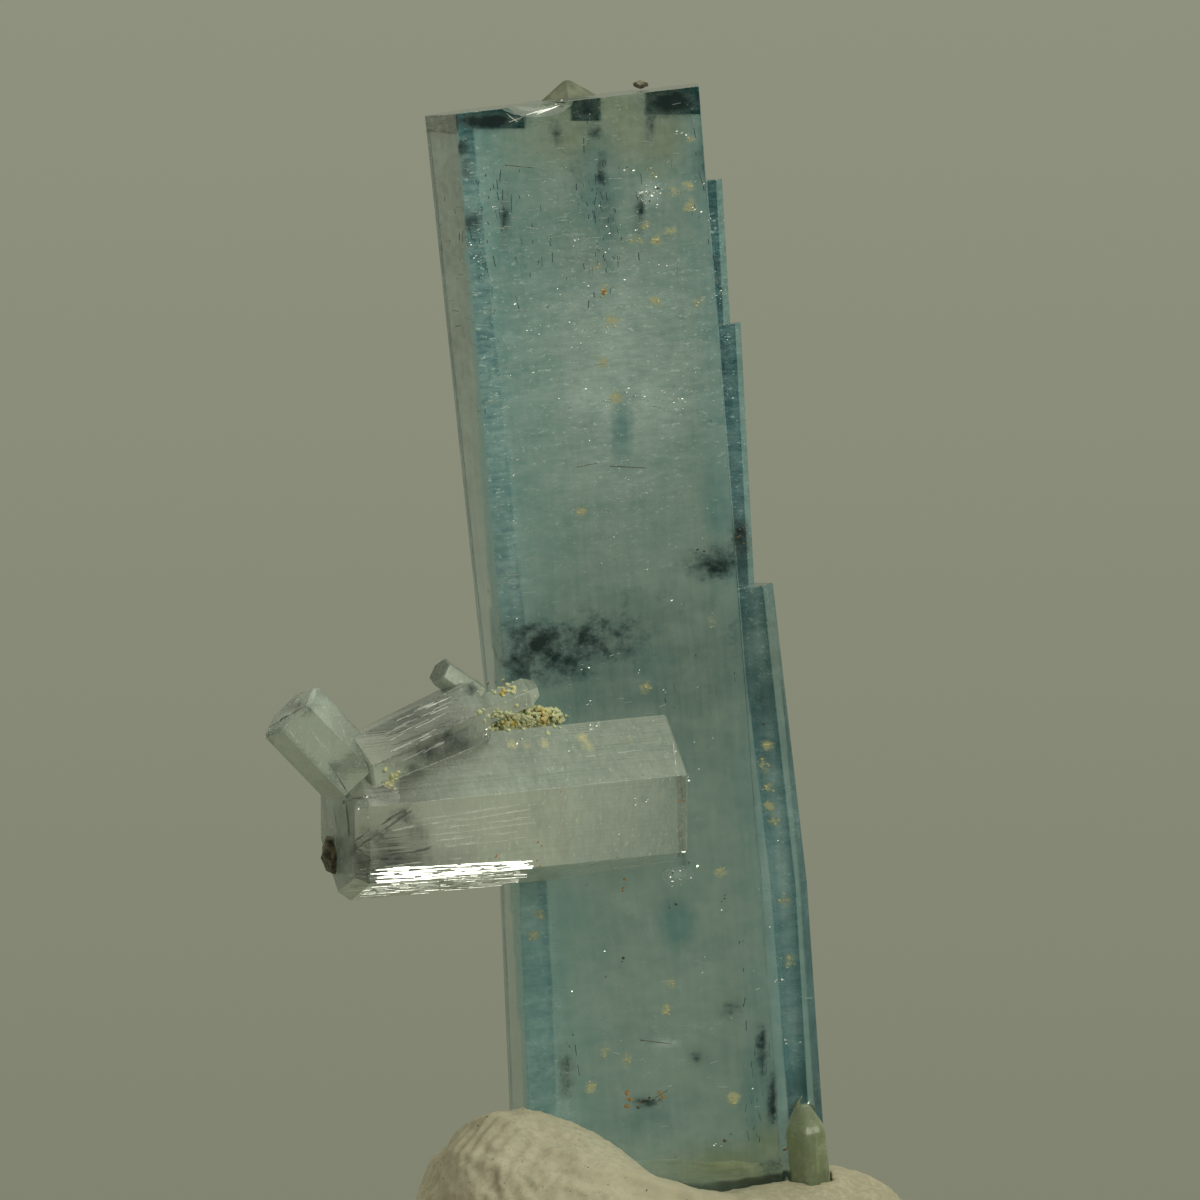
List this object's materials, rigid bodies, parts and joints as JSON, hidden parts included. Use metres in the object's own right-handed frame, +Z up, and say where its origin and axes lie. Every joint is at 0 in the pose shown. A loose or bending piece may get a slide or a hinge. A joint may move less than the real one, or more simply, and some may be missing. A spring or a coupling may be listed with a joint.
{
  "type": "aquamarine crystal specimen",
  "caption": "Aquamarine crystal with colourless crystals grown across it, standing in a lump of off-white display putty",
  "frame": {"origin": "middle of the putty's flat underside", "axes": "+Z up along the standing crystal, the broad crystal face looks along -Y, +X to its right"},
  "size_m": [0.0246, 0.0165, 0.0452],
  "materials": {
    "aquamarine": "clear, hazy blue-green crystal",
    "clear_beryl": "clear colourless crystal",
    "iron_stain": "matt ochre crust",
    "pale_mineral": "cloudy grey-green crystal",
    "dark_mineral": "dark brown grain",
    "putty": "matt off-white putty"
  },
  "bodies": {
    "root": {"main_crystal": "aquamarine", "cross_crystals": "clear_beryl", "iron_crust": "iron_stain", "cap_crystal": "pale_mineral", "base_crystal": "pale_mineral", "top_grain": "dark_mineral", "side_grain": "dark_mineral", "putty_base": "putty"}
  },
  "joints": []
}
